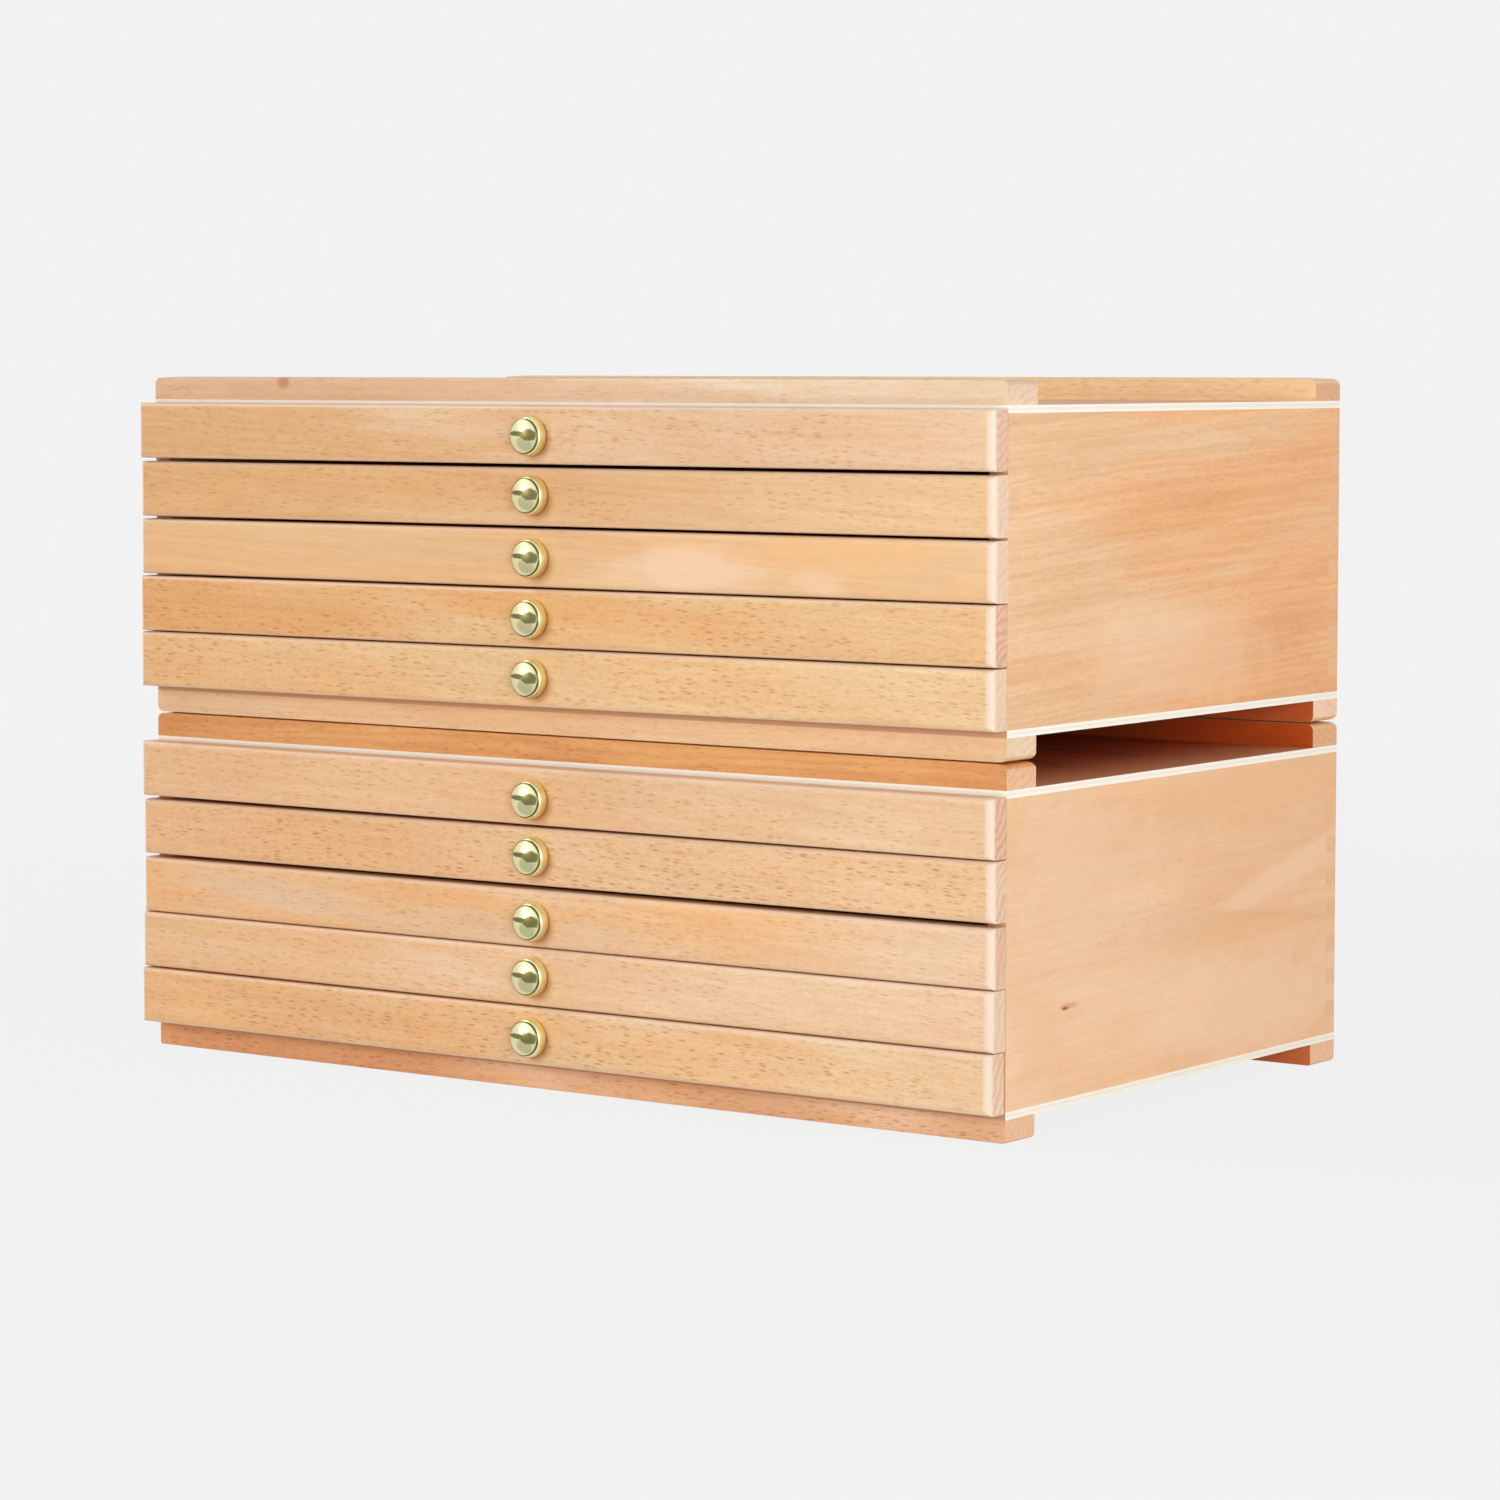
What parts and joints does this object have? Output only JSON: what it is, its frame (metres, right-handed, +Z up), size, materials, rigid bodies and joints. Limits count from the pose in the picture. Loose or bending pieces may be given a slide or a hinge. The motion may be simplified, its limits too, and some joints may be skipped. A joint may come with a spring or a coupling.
{
  "type": "pencil drawer box",
  "caption": "Stack of two low wooden drawer boxes for pencils, with shallow full-width drawers, brass knobs, plywood boards and stacking rails.",
  "frame": {"origin": "centre of the footprint of the whole box, knobs included, on the plane the lowest feet stand on", "axes": "+X across the front to the right, +Y from the front to the back, +Z up; the drawers open towards -Y"},
  "size_m": [0.4008, 0.2548, 0.2661],
  "materials": {
    "drawer_front": "satin beech, grain across the front",
    "case_panel": "satin beech, grain from front to back on the sides",
    "rail": "satin beech, grain along the rail",
    "plywood": "three-ply board with pale sanded edges",
    "drawer_wood": "sanded beech, unpolished inside",
    "runner_wood": "planed beech, waxed",
    "brass": "polished brass"
  },
  "bodies": {
    "lower_case": {"lower_back": "case_panel", "lower_bottom_board": "plywood", "lower_foot_rail_front": "rail", "lower_foot_rail_rear": "rail", "lower_runners": "runner_wood", "lower_side_left": "case_panel", "lower_side_right": "case_panel", "lower_top_board": "plywood", "lower_top_rail_front": "rail", "lower_top_rail_rear": "rail"},
    "upper_case": {"upper_back": "case_panel", "upper_bottom_board": "plywood", "upper_foot_rail_front": "rail", "upper_foot_rail_rear": "rail", "upper_runners": "runner_wood", "upper_side_left": "case_panel", "upper_side_right": "case_panel", "upper_top_board": "plywood", "upper_top_rail_front": "rail", "upper_top_rail_rear": "rail"},
    "lower_drawer_1": {"lower_drawer_1_bottom": "plywood", "lower_drawer_1_frame": "drawer_wood", "lower_drawer_1_front": "drawer_front", "lower_drawer_1_knob": "brass"},
    "lower_drawer_2": {"lower_drawer_2_bottom": "plywood", "lower_drawer_2_frame": "drawer_wood", "lower_drawer_2_front": "drawer_front", "lower_drawer_2_knob": "brass"},
    "lower_drawer_3": {"lower_drawer_3_bottom": "plywood", "lower_drawer_3_frame": "drawer_wood", "lower_drawer_3_front": "drawer_front", "lower_drawer_3_knob": "brass"},
    "lower_drawer_4": {"lower_drawer_4_bottom": "plywood", "lower_drawer_4_frame": "drawer_wood", "lower_drawer_4_front": "drawer_front", "lower_drawer_4_knob": "brass"},
    "lower_drawer_5": {"lower_drawer_5_bottom": "plywood", "lower_drawer_5_frame": "drawer_wood", "lower_drawer_5_front": "drawer_front", "lower_drawer_5_knob": "brass"},
    "upper_drawer_1": {"upper_drawer_1_bottom": "plywood", "upper_drawer_1_frame": "drawer_wood", "upper_drawer_1_front": "drawer_front", "upper_drawer_1_knob": "brass"},
    "upper_drawer_2": {"upper_drawer_2_bottom": "plywood", "upper_drawer_2_frame": "drawer_wood", "upper_drawer_2_front": "drawer_front", "upper_drawer_2_knob": "brass"},
    "upper_drawer_3": {"upper_drawer_3_bottom": "plywood", "upper_drawer_3_frame": "drawer_wood", "upper_drawer_3_front": "drawer_front", "upper_drawer_3_knob": "brass"},
    "upper_drawer_4": {"upper_drawer_4_bottom": "plywood", "upper_drawer_4_frame": "drawer_wood", "upper_drawer_4_front": "drawer_front", "upper_drawer_4_knob": "brass"},
    "upper_drawer_5": {"upper_drawer_5_bottom": "plywood", "upper_drawer_5_frame": "drawer_wood", "upper_drawer_5_front": "drawer_front", "upper_drawer_5_knob": "brass"}
  },
  "joints": [
    {"name": "upper_case_lift", "type": "slide", "parent": "lower_case", "child": "upper_case", "axis": [0, 0, 1], "range_m": [0, 0.06]},
    {"name": "lower_drawer_1_slide", "type": "slide", "parent": "lower_case", "child": "lower_drawer_1", "axis": [0, -1, 0], "range_m": [-0.0008, 0.1892]},
    {"name": "lower_drawer_2_slide", "type": "slide", "parent": "lower_case", "child": "lower_drawer_2", "axis": [0, -1, 0], "range_m": [0, 0.19]},
    {"name": "lower_drawer_3_slide", "type": "slide", "parent": "lower_case", "child": "lower_drawer_3", "axis": [0, -1, 0], "range_m": [0, 0.19]},
    {"name": "lower_drawer_4_slide", "type": "slide", "parent": "lower_case", "child": "lower_drawer_4", "axis": [0, -1, 0], "range_m": [-0.0008, 0.1892]},
    {"name": "lower_drawer_5_slide", "type": "slide", "parent": "lower_case", "child": "lower_drawer_5", "axis": [0, -1, 0], "range_m": [-0.0016, 0.1884]},
    {"name": "upper_drawer_1_slide", "type": "slide", "parent": "upper_case", "child": "upper_drawer_1", "axis": [0, -1, 0], "range_m": [-0.00075, 0.18925]},
    {"name": "upper_drawer_2_slide", "type": "slide", "parent": "upper_case", "child": "upper_drawer_2", "axis": [0, -1, 0], "range_m": [0, 0.19]},
    {"name": "upper_drawer_3_slide", "type": "slide", "parent": "upper_case", "child": "upper_drawer_3", "axis": [0, -1, 0], "range_m": [0, 0.19]},
    {"name": "upper_drawer_4_slide", "type": "slide", "parent": "upper_case", "child": "upper_drawer_4", "axis": [0, -1, 0], "range_m": [-0.0007, 0.1893]},
    {"name": "upper_drawer_5_slide", "type": "slide", "parent": "upper_case", "child": "upper_drawer_5", "axis": [0, -1, 0], "range_m": [-0.0007, 0.1893]}
  ]
}
